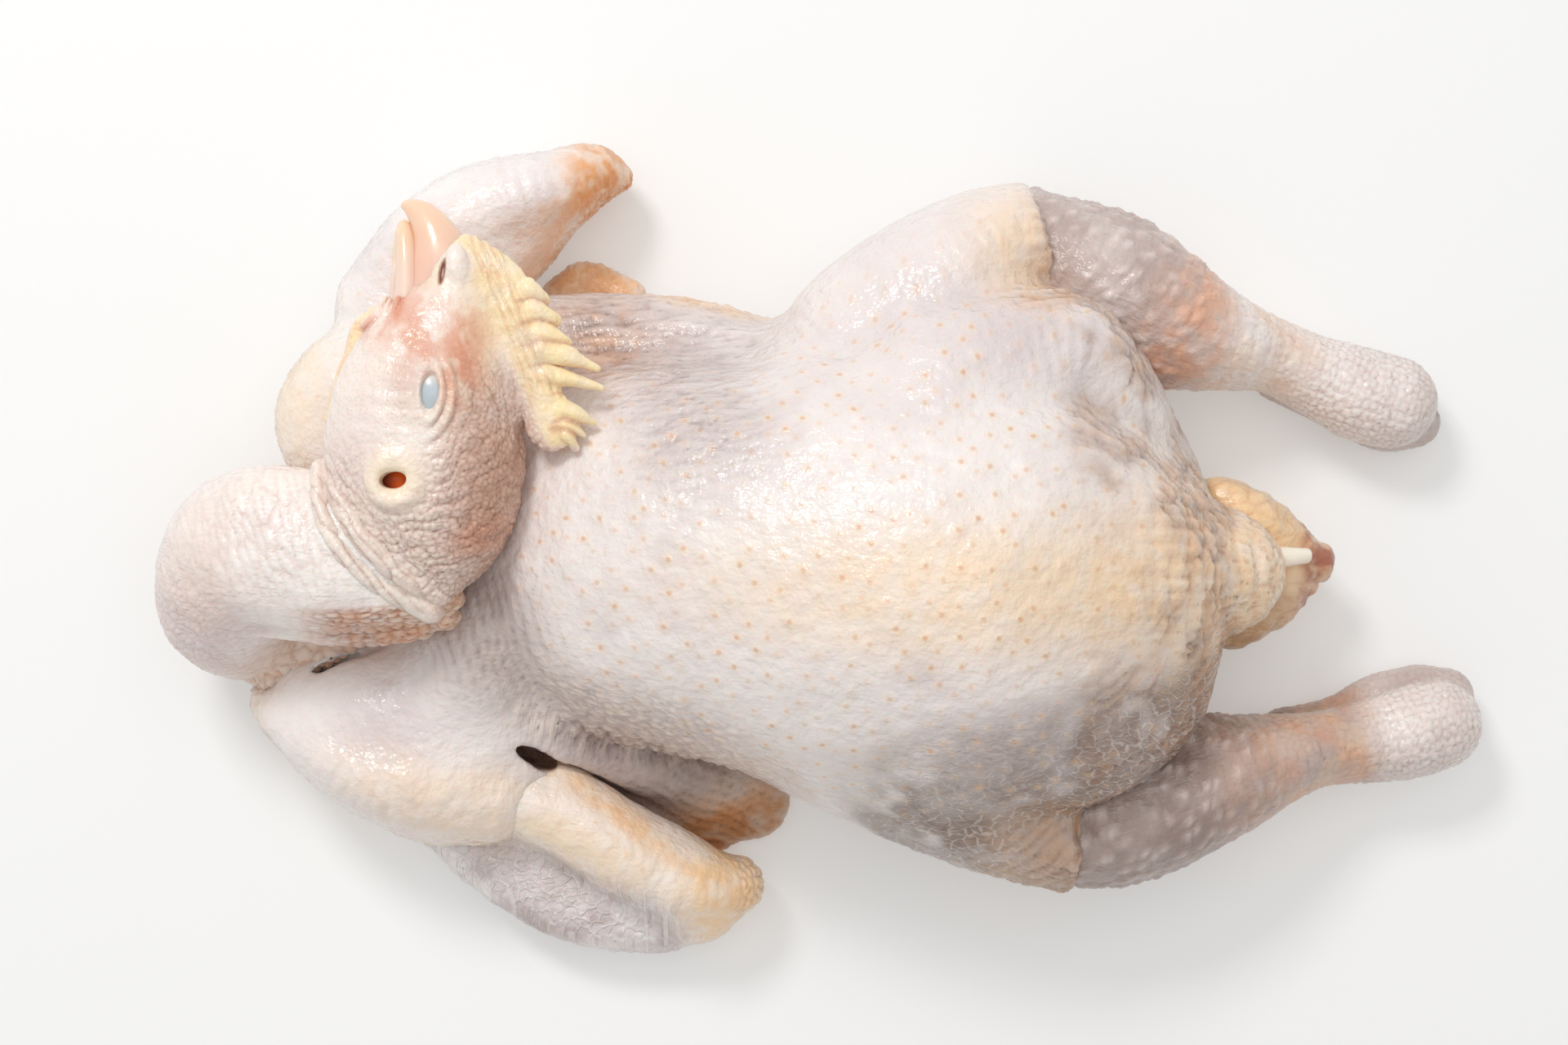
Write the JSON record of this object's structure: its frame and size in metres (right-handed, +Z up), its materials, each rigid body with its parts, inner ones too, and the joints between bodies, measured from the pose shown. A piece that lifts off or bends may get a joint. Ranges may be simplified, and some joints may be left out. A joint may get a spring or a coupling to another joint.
{
  "type": "whole raw chicken",
  "caption": "Whole raw plucked chicken with head and neck, lying on its back with legs stretched and wings spread.",
  "frame": {"origin": "centre of the bounding box's bottom face, on the surface that the bird lies on", "axes": "+X from the head end to the tail, +Y to the bird's left side (the side its beak points to), +Z up from the back to the breast"},
  "size_m": [0.336, 0.2094, 0.104],
  "materials": {
    "skin": null
  },
  "bodies": {
    "root": {"carcass": "skin"}
  },
  "joints": []
}
